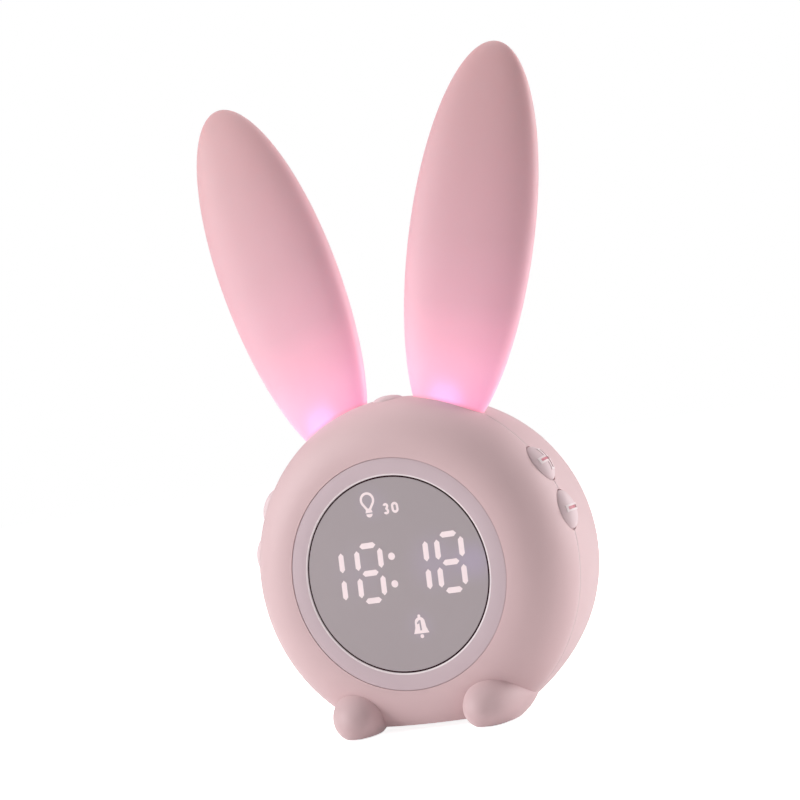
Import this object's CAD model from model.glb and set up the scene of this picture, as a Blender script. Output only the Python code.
import math

import bmesh
import bpy
from mathutils import Matrix, Vector


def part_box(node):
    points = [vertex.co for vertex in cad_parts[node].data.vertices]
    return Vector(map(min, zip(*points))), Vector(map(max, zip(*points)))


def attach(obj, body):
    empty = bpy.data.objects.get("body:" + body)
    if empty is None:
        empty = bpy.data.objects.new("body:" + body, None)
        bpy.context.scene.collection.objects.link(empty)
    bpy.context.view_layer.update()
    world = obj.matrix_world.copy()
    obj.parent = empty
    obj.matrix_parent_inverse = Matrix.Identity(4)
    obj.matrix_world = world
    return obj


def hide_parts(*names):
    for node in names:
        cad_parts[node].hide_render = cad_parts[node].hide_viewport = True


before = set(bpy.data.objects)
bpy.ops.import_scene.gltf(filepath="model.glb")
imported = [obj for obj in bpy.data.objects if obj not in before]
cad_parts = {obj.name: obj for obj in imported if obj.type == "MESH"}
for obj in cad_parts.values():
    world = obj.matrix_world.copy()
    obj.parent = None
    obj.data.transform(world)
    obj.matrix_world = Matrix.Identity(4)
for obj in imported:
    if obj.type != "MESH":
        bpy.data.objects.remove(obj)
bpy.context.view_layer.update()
MM = 0.001

# View of the clock as photographed: from a little right of the face, at the height of
# its middle, with the camera rolled so that the clock leans back to the left.
camera_angle, camera_tilt, camera_roll = 24.15, -0.43, 9.97
camera_distance = 590.0 * MM
camera_lens = 89.0
seam_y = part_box("rear_shell")[0][1]
axis_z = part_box("bezel_ring")[0][2] / 2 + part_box("bezel_ring")[1][2] / 2
body_middle = Vector((0.0, seam_y, axis_z))
middle_pixel = (417.65, 566.98)
frame_pixels = 800
sensor = 36.0


def camera_axes(angle, tilt, roll):
    """Return the camera's right, up and backward directions."""
    turn, rise, spin = (math.radians(value) for value in (angle, tilt, roll))
    back = Vector((math.sin(turn) * math.cos(rise), -math.cos(turn) * math.cos(rise),
                   math.sin(rise)))
    level = Vector((math.cos(turn), math.sin(turn), 0.0))
    upward = back.cross(level)
    right = level * math.cos(spin) - upward * math.sin(spin)
    up = level * math.sin(spin) + upward * math.cos(spin)
    return right, up, back


right, up, back = camera_axes(camera_angle, camera_tilt, camera_roll)
pixel_size = sensor / camera_lens / frame_pixels * camera_distance
across = (middle_pixel[0] - frame_pixels / 2) * pixel_size
above = (frame_pixels / 2 - middle_pixel[1]) * pixel_size
camera_place = body_middle + back * camera_distance - right * across - up * above
camera_data = bpy.data.cameras.new("camera")
camera_data.lens = camera_lens
camera_data.sensor_width = sensor
camera_data.clip_start = 50.0 * MM
camera = bpy.data.objects.new("camera", camera_data)
camera.matrix_world = Matrix((
    (right.x, up.x, back.x, camera_place.x), (right.y, up.y, back.y, camera_place.y),
    (right.z, up.z, back.z, camera_place.z), (0.0, 0.0, 0.0, 1.0)))
bpy.context.scene.collection.objects.link(camera)
bpy.context.scene.camera = camera
bpy.context.scene.view_settings.view_transform = "Standard"


# Studio: a white floor that keeps the clock's shadow, a pale surround that the camera sees
# as white, and soft boxes to the left, the right and above, with a weak one in front.
def linear(colour):
    """Turn an sRGB hex colour into linear values."""
    parts = [int(colour[i:i + 2], 16) / 255.0 for i in (1, 3, 5)]
    return [p / 12.92 if p <= 0.04045 else ((p + 0.055) / 1.055) ** 2.4 for p in parts] + [1.0]


def add(tree, kind, settings=(), links=()):
    """Add a node with its settings, and link each named input from an output."""
    made = tree.nodes.new(kind)
    for name, value in dict(settings).items():
        if isinstance(name, int) or name in made.inputs:
            made.inputs[name].default_value = value
        else:
            setattr(made, name, value)
    for name, output in dict(links).items():
        tree.links.new(output, made.inputs[name])
    return made


def new_material(name):
    """Return an empty material and its node tree."""
    made = bpy.data.materials.new(name)
    made.use_nodes = True
    made.node_tree.nodes.clear()
    return made, made.node_tree


floor_mesh = bmesh.new()
bmesh.ops.create_grid(floor_mesh, x_segments=1, y_segments=1, size=3.0)
floor_data = bpy.data.meshes.new("floor")
floor_mesh.to_mesh(floor_data)
floor_mesh.free()
floor = bpy.data.objects.new("floor", floor_data)
bpy.context.scene.collection.objects.link(floor)
paint, tree = new_material("studio_white")
path = add(tree, "ShaderNodeLightPath")
chalk = add(tree, "ShaderNodeBsdfDiffuse", {"Color": linear("#F4F2F2")})
seen = add(tree, "ShaderNodeMath", {"operation": "MAXIMUM"},
           {0: path.outputs["Is Camera Ray"], 1: path.outputs["Is Glossy Ray"]})
lift = add(tree, "ShaderNodeEmission", {"Color": linear("#FFFFFF")})
boost = add(tree, "ShaderNodeMath", {"operation": "MULTIPLY", 1: 0.86},
            {0: seen.outputs[0]})
tree.links.new(boost.outputs[0], lift.inputs["Strength"])
both = add(tree, "ShaderNodeAddShader", (), {0: chalk.outputs[0], 1: lift.outputs[0]})
add(tree, "ShaderNodeOutputMaterial", (), {"Surface": both.outputs[0]})
floor_data.materials.append(paint)

world = bpy.data.worlds.new("studio")
bpy.context.scene.world = world
world.use_nodes = True
tree = world.node_tree
tree.nodes.clear()
path = add(tree, "ShaderNodeLightPath")
seen = add(tree, "ShaderNodeMath", {"operation": "MAXIMUM"},
           {0: path.outputs["Is Camera Ray"], 1: path.outputs["Is Transmission Ray"]})
room = add(tree, "ShaderNodeBackground", {"Color": linear("#F2F0F2"), "Strength": 0.28})
plain = add(tree, "ShaderNodeBackground", {"Color": linear("#FFFFFF"), "Strength": 1.0})
mixed = add(tree, "ShaderNodeMixShader", (),
            {0: seen.outputs[0], 1: room.outputs[0], 2: plain.outputs[0]})
add(tree, "ShaderNodeOutputWorld", (), {"Surface": mixed.outputs[0]})


def soft_box(name, place, aim, size, watts):
    """Hang a square soft light that looks at a point."""
    data = bpy.data.lights.new(name, "AREA")
    data.size = size
    data.energy = watts
    lamp = bpy.data.objects.new(name, data)
    place, aim = Vector(place), Vector(aim)
    lamp.matrix_world = Matrix.Translation(place) @ (
        (aim - place).to_track_quat("-Z", "Y").to_matrix().to_4x4())
    bpy.context.scene.collection.objects.link(lamp)


chest = (0.0, seam_y, 0.09)
soft_box("left_soft_box", (-0.75, -0.45, 0.40), chest, 0.55, 6.2)
soft_box("right_soft_box", (0.72, 0.48, 0.28), chest, 0.5, 5.0)
soft_box("top_soft_box", (0.0, 0.1, 0.95), chest, 0.6, 3.0)
soft_box("front_right_soft_box", (0.75, -0.45, 0.45), chest, 0.5, 0.6)


# Front and rear shell: ABS mouldings, sprayed with a pink soft-touch lacquer. It looks
# like chalky rubber: no sharp reflection, a pale bloom where light grazes it, fine grain.
# On the bevels of the seam it is thin, so the seam is a pale line and not a dark one.
def soft_touch(name, colour, bloom=0.25, rough=0.56, thin=None):
    """Make soft-touch lacquer: dull, faintly mottled, with the spray's fine grain.

    thin adds the nodes that say where the lacquer is thin and pale.
    """
    made, tree = new_material(name)
    place = add(tree, "ShaderNodeTexCoord").outputs["Object"]
    grain_size, mottle_size = 0.3 * MM, 28.0 * MM
    grain = add(tree, "ShaderNodeTexNoise", {"Scale": 1.0 / grain_size, "Detail": 2.0},
                {"Vector": place})
    mottle = add(tree, "ShaderNodeTexNoise", {"Scale": 1.0 / mottle_size, "Detail": 2.0},
                 {"Vector": place})
    base = linear(colour)
    tint = add(tree, "ShaderNodeMix", {
        "data_type": "RGBA", 6: [c * 0.965 for c in base[:3]] + [1.0],
        7: [min(1.0, c * 1.03) for c in base[:3]] + [1.0]}, {0: mottle.outputs[0]})
    if thin:
        tint = add(tree, "ShaderNodeMix", {"data_type": "RGBA", 7: linear("#FBF1F2")},
                   {0: thin(tree, place), 6: tint.outputs[2]})
    dull = add(tree, "ShaderNodeMapRange", {3: rough - 0.05, 4: rough + 0.05},
               {0: grain.outputs[0]})
    relief = add(tree, "ShaderNodeBump", {"Strength": 0.08, "Distance": 0.06 * MM},
                 {"Height": grain.outputs[0]})
    skin = add(tree, "ShaderNodeBsdfPrincipled", {
        "IOR": 1.5, "Sheen Weight": bloom, "Sheen Roughness": 0.45,
        "Sheen Tint": linear("#FBEFF2")},
        {"Base Color": tint.outputs[2], "Normal": relief.outputs[0],
         "Roughness": dull.outputs[0]})
    add(tree, "ShaderNodeOutputMaterial", (), {"Surface": skin.outputs[0]})
    return made


def seam_bevels(tree, place):
    """Find the bevels on both sides of the seam."""
    axes = add(tree, "ShaderNodeSeparateXYZ", (), {0: place})
    depth = add(tree, "ShaderNodeMath", {"operation": "SUBTRACT", 1: seam_y},
                {0: axes.outputs[1]})
    away = add(tree, "ShaderNodeMath", {"operation": "ABSOLUTE"}, {0: depth.outputs[0]})
    near = add(tree, "ShaderNodeMapRange", {1: 0.5 * MM, 2: 0.2 * MM, 3: 0.0, 4: 0.6},
               {0: away.outputs[0]})
    return near.outputs[0]


def dress(names, material):
    """Give CAD nodes their material."""
    for name in names:
        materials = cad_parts[name].data.materials
        materials.clear()
        materials.append(material)


dress(["front_shell", "rear_shell"],
      soft_touch("soft_touch_lacquer_on_abs", "#D9BABC", thin=seam_bevels))


# Ears: hollow mouldings of translucent white-pink silicone, 1.4 mm thick, widest above
# their middle and flattened front to back. Their roots pass through the seam, where a
# lamp inside each turns the lower ear bright pink.
def link_piece(name, mesh, material):
    """Turn a finished bmesh into a piece that rides on the clock's body."""
    data = bpy.data.meshes.new(name)
    mesh.to_mesh(data)
    mesh.free()
    for face in data.polygons:
        face.use_smooth = True
    data.materials.append(material)
    piece = bpy.data.objects.new(name, data)
    bpy.context.scene.collection.objects.link(piece)
    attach(piece, "clock")
    return piece


ear_lean, ear_back = math.radians(15.7), math.radians(6.7)
ear_half_width, ear_half_thick = 19.59 * MM, 6.79 * MM
ear_tip, ear_reach = 58.18 * MM, 48.76 * MM
ear_root = ear_reach + 8.2 * MM
ear_taper = ear_root + 4.5 * MM
ear_wall = 1.4 * MM
shell_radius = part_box("rear_shell")[1][0]
ear_seat = seam_y + 1.01 * MM
ear_spread = math.radians(22.3)


def ear_frame(side):
    """Return the middle of an ear's widest part, and how the ear leans."""
    turn = Matrix.Rotation(side * ear_lean, 3, "Y") @ Matrix.Rotation(-ear_back, 3, "X")
    seat = Vector((side * shell_radius * math.sin(ear_spread), ear_seat,
                   axis_z + shell_radius * math.cos(ear_spread)))
    return seat + turn @ Vector((0.0, 0.0, ear_reach)), turn


def axis_distance(tree, place, x=0.0, z=0.0, reach=1.0):
    """Return the distance from an axis along Y, at x and z from the shell's, over reach."""
    offset = add(tree, "ShaderNodeVectorMath",
                 {"operation": "SUBTRACT", 1: (x, 0.0, axis_z + z)}, {0: place})
    level = add(tree, "ShaderNodeVectorMath",
                {"operation": "MULTIPLY", 1: (1.0 / reach, 0.0, 1.0 / reach)},
                {0: offset.outputs[0]})
    far = add(tree, "ShaderNodeVectorMath", {"operation": "LENGTH"}, {0: level.outputs[0]})
    return far.outputs["Value"]


def lit_silicone(name, side):
    """Make translucent silicone: milky, soft edged, and lit from the lamp in its root.

    Up the ear run its own colour and the lamp's glow. Over them lie the lamp's hot spot,
    just above the shell, and a coral line where the ear enters the shell.
    """
    made, tree = new_material(name)
    place = add(tree, "ShaderNodeTexCoord").outputs["Object"]
    middle, turn = ear_frame(side)
    own = add(tree, "ShaderNodeMapping", {
        "vector_type": "TEXTURE", 1: middle, 2: turn.to_euler()}, {0: place})
    axes = add(tree, "ShaderNodeSeparateXYZ", (), {0: own.outputs[0]})
    height = add(tree, "ShaderNodeMapRange", {1: -ear_reach, 2: ear_tip},
                 {0: axes.outputs[2]})
    ramps = []
    for stops in (((0.0, "#E3B3BE"), (0.35, "#DEB0B8"), (1.0, "#DAADAF")),
                  ((0.0, "#B56595"), (0.08, "#AD658B"), (0.16, "#975573"),
                   (0.27, "#6F3F55"), (0.45, "#4B2A38"), (0.75, "#271019"),
                   (1.0, "#000000"))):
        ramp = add(tree, "ShaderNodeValToRGB", (), {0: height.outputs[0]})
        for index, (spot, colour) in enumerate(stops):
            stop = (ramp.color_ramp.elements[index] if index < 2
                    else ramp.color_ramp.elements.new(spot))
            stop.position, stop.color = spot, linear(colour)
        ramps.append(ramp.outputs[0])
    colour, glow = ramps
    far = axis_distance(tree, place)
    above = add(tree, "ShaderNodeMapRange", {
        "interpolation_type": "SMOOTHERSTEP", 1: shell_radius + 11.0 * MM,
        2: shell_radius - 3.0 * MM, 3: 0.0, 4: 1.0}, {0: far})
    hot_place = -2.6 * MM if side < 0 else 0.0
    beside = add(tree, "ShaderNodeMath", {"operation": "SUBTRACT", 1: hot_place},
                 {0: axes.outputs[0]})
    beside = add(tree, "ShaderNodeMath", {"operation": "ABSOLUTE"}, {0: beside.outputs[0]})
    within = add(tree, "ShaderNodeMapRange", {
        "interpolation_type": "SMOOTHERSTEP", 1: 9.0 * MM, 2: 0.0, 3: 0.0, 4: 1.0},
        {0: beside.outputs[0]})
    hot = add(tree, "ShaderNodeMath", {"operation": "MULTIPLY"},
              {0: above.outputs[0], 1: within.outputs[0]})
    core = add(tree, "ShaderNodeMix", {
        "data_type": "RGBA", 6: linear("#000000"), 7: linear("#006FB1")}, {0: hot.outputs[0]})
    light = add(tree, "ShaderNodeMix", {"data_type": "RGBA", "blend_type": "ADD", 0: 1.0},
                {6: glow, 7: core.outputs[2]})
    coral = add(tree, "ShaderNodeMapRange", {
        "interpolation_type": "SMOOTHSTEP", 1: shell_radius + 1.1 * MM,
        2: shell_radius - 0.2 * MM, 3: 0.0, 4: 0.5}, {0: far})
    light = add(tree, "ShaderNodeMix", {"data_type": "RGBA", 7: linear("#BC3F4B")},
                {0: coral.outputs[0], 6: light.outputs[2]})
    cloud = add(tree, "ShaderNodeTexNoise", {"Scale": 1.0 / (0.5 * MM), "Detail": 2.0},
                {"Vector": place})
    relief = add(tree, "ShaderNodeBump", {"Strength": 0.05, "Distance": 0.06 * MM},
                 {"Height": cloud.outputs[0]})
    dull = add(tree, "ShaderNodeMapRange", {3: 0.44, 4: 0.56}, {0: cloud.outputs[0]})
    skin = add(tree, "ShaderNodeBsdfPrincipled", {
        "IOR": 1.41, "Subsurface Weight": 0.2, "Subsurface Scale": 1.0 * MM,
        "Subsurface Radius": (3.0, 1.2, 1.2), "Sheen Weight": 0.3, "Sheen Roughness": 0.4,
        "Sheen Tint": linear("#FCEFF4"), "Emission Strength": 1.0},
        {"Base Color": colour, "Emission Color": light.outputs[2],
         "Roughness": dull.outputs[0], "Normal": relief.outputs[0]})
    add(tree, "ShaderNodeOutputMaterial", (), {"Surface": skin.outputs[0]})
    return made


def squarer(mesh, power):
    """Fill out each cross section: at power 2 it is an ellipse, and above it squarer."""
    for vert in mesh.verts:
        reach = math.hypot(vert.co.x, vert.co.y)
        if reach > 1e-9:
            for axis in (0, 1):
                part = vert.co[axis] / reach
                vert.co[axis] = reach * math.copysign(abs(part) ** (2.0 / power), part)


for word, side in (("left", -1), ("right", 1)):
    middle, turn = ear_frame(side)
    mesh = bmesh.new()
    bmesh.ops.create_uvsphere(mesh, u_segments=112, v_segments=96, radius=1.0)
    squarer(mesh, power=2.35)
    for vert in mesh.verts:
        vert.co.z *= ear_tip if vert.co.z > 0 else ear_taper
    bmesh.ops.scale(mesh, verts=mesh.verts, vec=(ear_half_width, ear_half_thick, 1.0))
    bmesh.ops.bisect_plane(mesh, geom=mesh.verts[:] + mesh.edges[:] + mesh.faces[:],
                           plane_co=(0.0, 0.0, -ear_root), plane_no=(0.0, 0.0, -1.0),
                           clear_outer=True)
    bmesh.ops.recalc_face_normals(mesh, faces=mesh.faces)
    bmesh.ops.solidify(mesh, geom=mesh.faces[:], thickness=ear_wall)
    bmesh.ops.transform(mesh, matrix=Matrix.Translation(middle) @ turn.to_4x4(),
                        verts=mesh.verts)
    ear = link_piece(word + "_silicone_ear", mesh,
                     lit_silicone(word + "_translucent_silicone", side))
    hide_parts(word + "_ear")


# Face ring: a moulded ABS ring in a slightly greyer pink, pressed into the front shell.
# Its edges are a little rounded, so a thin bright line runs round the dark gasket.
def turned_ring(node, inner, outer, rounding):
    """Spin a rounded block about the face's axis, as deep as the node it stands for."""
    front, back = (corner[1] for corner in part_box(node))
    mesh = bmesh.new()
    corners = [mesh.verts.new((radius, depth, 0.0)) for radius, depth in
               ((inner, front), (outer, front), (outer, back), (inner, back))]
    mesh.faces.new(corners)
    bmesh.ops.bevel(mesh, geom=corners, offset=rounding, segments=4, profile=0.5,
                    affect="VERTICES", material=-1)
    edges = mesh.edges[:]
    bmesh.ops.delete(mesh, geom=mesh.faces[:], context="FACES_ONLY")
    bmesh.ops.spin(mesh, geom=edges, cent=(0.0, 0.0, 0.0), axis=(0.0, 1.0, 0.0),
                   angle=2 * math.pi, steps=256, use_merge=True)
    bmesh.ops.remove_doubles(mesh, verts=mesh.verts, dist=1e-7)
    bmesh.ops.recalc_face_normals(mesh, faces=mesh.faces)
    bmesh.ops.translate(mesh, vec=(0.0, 0.0, axis_z), verts=mesh.verts)
    return mesh


def inner_rim(tree, place):
    """Find the ring's rounded inner edge."""
    near = add(tree, "ShaderNodeMapRange", {
        1: gasket_outer + 0.6 * MM, 2: gasket_outer + 0.35 * MM, 3: 0.0, 4: 0.8},
        {0: axis_distance(tree, place)})
    return near.outputs[0]


ring_outer, gasket_outer, lens_radius = (
    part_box(node)[1][0] for node in ("bezel_ring", "lens_gasket", "display_lens"))
ring = link_piece("face_ring",
                  turned_ring("bezel_ring", gasket_outer, ring_outer, rounding=0.3 * MM),
                  soft_touch("satin_abs_ring", "#CEB9BF", bloom=0.15, rough=0.5,
                             thin=inner_rim))
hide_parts("bezel_ring")


# Gasket: a thin band of dark silicone that seats the lens and hides its glue. It is dull,
# so it reads as a near black line round the mirror.
def rubber(name, colour, rough):
    """Make moulded rubber: dull, with a dusty bloom."""
    made, tree = new_material(name)
    place = add(tree, "ShaderNodeTexCoord").outputs["Object"]
    dust = add(tree, "ShaderNodeTexNoise", {"Scale": 1.0 / (1.5 * MM), "Detail": 4.0},
               {"Vector": place})
    base = linear(colour)
    tint = add(tree, "ShaderNodeMix", {"data_type": "RGBA", 6: base,
                                       7: [min(1.0, c * 1.5) for c in base[:3]] + [1.0]},
               {0: dust.outputs[0]})
    relief = add(tree, "ShaderNodeBump", {"Strength": 0.15, "Distance": 0.08 * MM},
                 {"Height": dust.outputs[0]})
    skin = add(tree, "ShaderNodeBsdfPrincipled", {"Roughness": rough, "IOR": 1.45,
                                                  "Specular IOR Level": 0.15},
               {"Base Color": tint.outputs[2], "Normal": relief.outputs[0]})
    add(tree, "ShaderNodeOutputMaterial", (), {"Surface": skin.outputs[0]})
    return made


gasket = link_piece("lens_seal",
                    turned_ring("lens_gasket", lens_radius, gasket_outer, rounding=0.08 * MM),
                    rubber("dark_silicone_seal", "#2C141B", rough=0.6))
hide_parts("lens_gasket")


# Mirror lens: a disc of acrylic, mirrored behind and frosted in front, so that it looks
# grey and holds only a broad soft reflection. The digits' light spreads in it as a faint
# lavender haze.
lens_paint, tree = new_material("frosted_mirror_acrylic")
place = add(tree, "ShaderNodeTexCoord").outputs["Object"]
frost = add(tree, "ShaderNodeTexNoise", {"Scale": 1.0 / (0.25 * MM), "Detail": 2.0},
            {"Vector": place})
haze = None
for x, z, reach, strength in ((13.0, 2.0, 13.0, 0.050), (24.5, 1.0, 9.0, 0.085),
                              (-11.5, 2.0, 13.0, 0.020), (4.6, -15.6, 7.0, 0.035),
                              (-4.0, 21.5, 8.0, 0.030)):
    near = add(tree, "ShaderNodeMapRange", {
        "interpolation_type": "SMOOTHERSTEP", 1: 1.0, 2: 0.0, 3: 0.0, 4: strength},
        {0: axis_distance(tree, place, x * MM, z * MM, reach * MM)})
    haze = near if haze is None else add(tree, "ShaderNodeMath", {"operation": "ADD"},
                                         {0: haze.outputs[0], 1: near.outputs[0]})
relief = add(tree, "ShaderNodeBump", {"Strength": 0.03, "Distance": 0.04 * MM},
             {"Height": frost.outputs[0]})
dull = add(tree, "ShaderNodeMapRange", {3: 0.36, 4: 0.44}, {0: frost.outputs[0]})
skin = add(tree, "ShaderNodeBsdfPrincipled", {
    "Base Color": linear("#ABA0A3"), "IOR": 1.49, "Emission Color": linear("#A98AFF")},
    {"Normal": relief.outputs[0], "Roughness": dull.outputs[0],
     "Emission Strength": haze.outputs[0]})
add(tree, "ShaderNodeOutputMaterial", (), {"Surface": skin.outputs[0]})
dress(["display_lens"], lens_paint)


# Lit strokes: clear acrylic inlays in the lens, lit from behind by small lamps. They look
# pale pink white, and not quite evenly lit.
lit_paint, tree = new_material("lit_diffusing_acrylic")
place = add(tree, "ShaderNodeTexCoord").outputs["Object"]
flicker = add(tree, "ShaderNodeTexNoise", {"Scale": 1.0 / (3.0 * MM), "Detail": 1.0},
              {"Vector": place})
level = add(tree, "ShaderNodeMapRange", {3: 0.60, 4: 0.72}, {0: flicker.outputs[0]})
skin = add(tree, "ShaderNodeBsdfPrincipled", {
    "Base Color": linear("#8A7C80"), "Roughness": 0.4, "IOR": 1.49,
    "Emission Color": linear("#FFEDEE")}, {"Emission Strength": level.outputs[0]})
add(tree, "ShaderNodeOutputMaterial", (), {"Surface": skin.outputs[0]})
dress(["display_segments", "display_icons"], lit_paint)


# Feet: ABS mouldings in the body's lacquer, blunt in front, each held by a screw from
# inside. A rubber pad is under each, and a third one under the back.
dress(["left_foot", "right_foot"], soft_touch("soft_touch_lacquer_on_feet", "#D6B8BA"))
dress(["foot_pads", "rear_pad"], rubber("grey_rubber_pads", "#8C8486", rough=0.75))


# Side buttons: domed ABS caps in the body's lacquer that slide in the seam. The plus and
# the minus are sunk, filled with red-pink paint, with a raised pale edge round each.
cap_base = 50.2 * MM
cap_half_sizes = (6.0 * MM, 4.5 * MM, 3.1 * MM)


def raised_edge(angle):
    """Return what finds the raised edge of the mark on the cap at an angle."""
    turn = math.radians(angle)
    middle = (cap_base * math.cos(turn), seam_y, axis_z + cap_base * math.sin(turn))

    def thin(tree, place):
        """Find what stands out from the cap's dome, which has radius 1 in its own frame."""
        dome = add(tree, "ShaderNodeMapping", {
            "vector_type": "TEXTURE", 1: middle, 2: (0.0, math.pi / 2 - turn, 0.0),
            3: cap_half_sizes}, {0: place})
        high = add(tree, "ShaderNodeVectorMath", {"operation": "LENGTH"},
                   {0: dome.outputs[0]})
        near = add(tree, "ShaderNodeMapRange", {1: 1.015, 2: 1.035, 3: 0.0, 4: 0.55},
                   {0: high.outputs["Value"]})
        return near.outputs[0]

    return thin


for word, angle in (("plus", 29.3), ("minus", 12.0), ("alarm", 150.7), ("set", 168.0)):
    dress([word + "_button"], soft_touch("soft_touch_lacquer_on_" + word, "#E3CCCF",
                                         bloom=0.35, thin=raised_edge(angle)))
dress(["top_button"], soft_touch("soft_touch_lacquer_on_top", "#DCC3C6"))
mark_paint, tree = new_material("red_fill_paint")
place = add(tree, "ShaderNodeTexCoord").outputs["Object"]
streak = add(tree, "ShaderNodeTexNoise", {"Scale": 1.0 / (0.6 * MM), "Detail": 2.0},
             {"Vector": place})
tint = add(tree, "ShaderNodeMix", {"data_type": "RGBA", 6: linear("#C8707E"),
                                   7: linear("#D98F99")}, {0: streak.outputs[0]})
skin = add(tree, "ShaderNodeBsdfPrincipled", {"Roughness": 0.4, "IOR": 1.5},
           {"Base Color": tint.outputs[2]})
add(tree, "ShaderNodeOutputMaterial", (), {"Surface": skin.outputs[0]})
dress(["plus_mark", "minus_mark", "alarm_mark", "set_mark"], mark_paint)


# Inner mouldings: plain ABS and acetal as they leave the mould, with the paper cone and
# the foil of the cell. They are satin and faintly speckled.
def moulded(name, colour, rough, grain_mm=0.4):
    """Make a bare moulded plastic: satin, with the mould's spark texture."""
    made, tree = new_material(name)
    place = add(tree, "ShaderNodeTexCoord").outputs["Object"]
    spark = add(tree, "ShaderNodeTexVoronoi", {"Scale": 1.0 / (grain_mm * MM)},
                {"Vector": place})
    base = linear(colour)
    tint = add(tree, "ShaderNodeMix", {"data_type": "RGBA",
                                       6: [c * 0.93 for c in base[:3]] + [1.0], 7: base},
               {0: spark.outputs[0]})
    relief = add(tree, "ShaderNodeBump", {"Strength": 0.1, "Distance": 0.05 * MM},
                 {"Height": spark.outputs[0]})
    skin = add(tree, "ShaderNodeBsdfPrincipled", {"Roughness": rough, "IOR": 1.5},
               {"Base Color": tint.outputs[2], "Normal": relief.outputs[0]})
    add(tree, "ShaderNodeOutputMaterial", (), {"Surface": skin.outputs[0]})
    return made


dress(["left_ear_collar", "right_ear_collar"],
      moulded("white_abs_collar", "#ECE8E6", rough=0.45))
dress(["plus_plunger", "minus_plunger", "alarm_plunger", "set_plunger", "top_plunger"],
      moulded("white_acetal_plunger", "#E9E6E0", rough=0.35))
dress(["right_switches", "left_switches", "top_switch", "segment_mask", "battery_tray",
       "main_board_chips"], moulded("black_abs", "#1B1A1C", rough=0.5))
dress(["speaker_frame"], moulded("black_glass_filled_abs", "#222124", rough=0.6))
dress(["speaker_cone"], moulded("grey_paper_cone", "#4A4644", rough=0.85, grain_mm=0.8))
dress(["battery_cell"],
      moulded("silver_foil_wrap", "#A9ACB0", rough=0.35, grain_mm=1.2))


# Circuit boards: glass-filled epoxy under green solder mask, a hard semi-gloss film
# through which the copper tracks show faintly.
board_paint, tree = new_material("green_solder_mask")
place = add(tree, "ShaderNodeTexCoord").outputs["Object"]
tracks = add(tree, "ShaderNodeTexBrick", {
    "Scale": 1.0 / (2.4 * MM), "Color1": linear("#1E5B39"), "Color2": linear("#1A5134"),
    "Mortar": linear("#2F7B4C"), "Mortar Size": 0.08}, {"Vector": place})
skin = add(tree, "ShaderNodeBsdfPrincipled", {"Roughness": 0.35, "IOR": 1.52},
           {"Base Color": tracks.outputs[0]})
add(tree, "ShaderNodeOutputMaterial", (), {"Surface": skin.outputs[0]})
dress(["main_board", "right_switch_boards", "left_switch_boards", "top_switch_board",
       "left_ear_lamp_board", "right_ear_lamp_board", "charge_board"], board_paint)


# Lamps: milky epoxy cast over a small chip. The display lamps are white and the ear lamps
# a warm pink.
def lamp(name, colour, strength):
    """Make a lit lamp: milky and a little uneven."""
    made, tree = new_material(name)
    place = add(tree, "ShaderNodeTexCoord").outputs["Object"]
    cloud = add(tree, "ShaderNodeTexNoise", {"Scale": 1.0 / (1.0 * MM)}, {"Vector": place})
    level = add(tree, "ShaderNodeMapRange", {3: strength * 0.8, 4: strength},
                {0: cloud.outputs[0]})
    skin = add(tree, "ShaderNodeBsdfPrincipled", {
        "Base Color": linear("#F3EFEC"), "Roughness": 0.25, "IOR": 1.54,
        "Emission Color": linear(colour)}, {"Emission Strength": level.outputs[0]})
    add(tree, "ShaderNodeOutputMaterial", (), {"Surface": skin.outputs[0]})
    return made


dress(["display_leds"], lamp("white_display_lamps", "#FFF4EE", strength=1.0))
dress(["left_ear_lamp", "right_ear_lamp"],
      lamp("pink_ear_lamps", "#FF9FC6", strength=1.5))


# Steel pieces: zinc-plated screws, the nickel-plated magnet and the stamped shell of the
# socket. They are bright, with fine lines from rolling and turning.
def plated(name, colour, rough, lines_mm):
    """Make plated steel: fine drawn lines in its roughness."""
    made, tree = new_material(name)
    place = add(tree, "ShaderNodeTexCoord").outputs["Object"]
    drawn = add(tree, "ShaderNodeTexNoise", {"Scale": 1.0 / (lines_mm * MM), "Detail": 3.0},
                {"Vector": place})
    dull = add(tree, "ShaderNodeMapRange", {3: rough - 0.08, 4: rough + 0.1},
               {0: drawn.outputs[0]})
    relief = add(tree, "ShaderNodeBump", {"Strength": 0.06, "Distance": 0.03 * MM},
                 {"Height": drawn.outputs[0]})
    skin = add(tree, "ShaderNodeBsdfPrincipled", {"Base Color": linear(colour),
                                                  "Metallic": 1.0},
               {"Roughness": dull.outputs[0], "Normal": relief.outputs[0]})
    add(tree, "ShaderNodeOutputMaterial", (), {"Surface": skin.outputs[0]})
    return made


dress(["case_screws", "foot_screws", "main_board_screws", "speaker_screws"],
      plated("zinc_plated_steel", "#B9B6B0", rough=0.32, lines_mm=0.5))
dress(["speaker_magnet"],
      plated("nickel_plated_magnet", "#A8A39C", rough=0.25, lines_mm=1.0))
dress(["charge_socket"],
      plated("stamped_steel_socket", "#C4C2BF", rough=0.28, lines_mm=0.4))
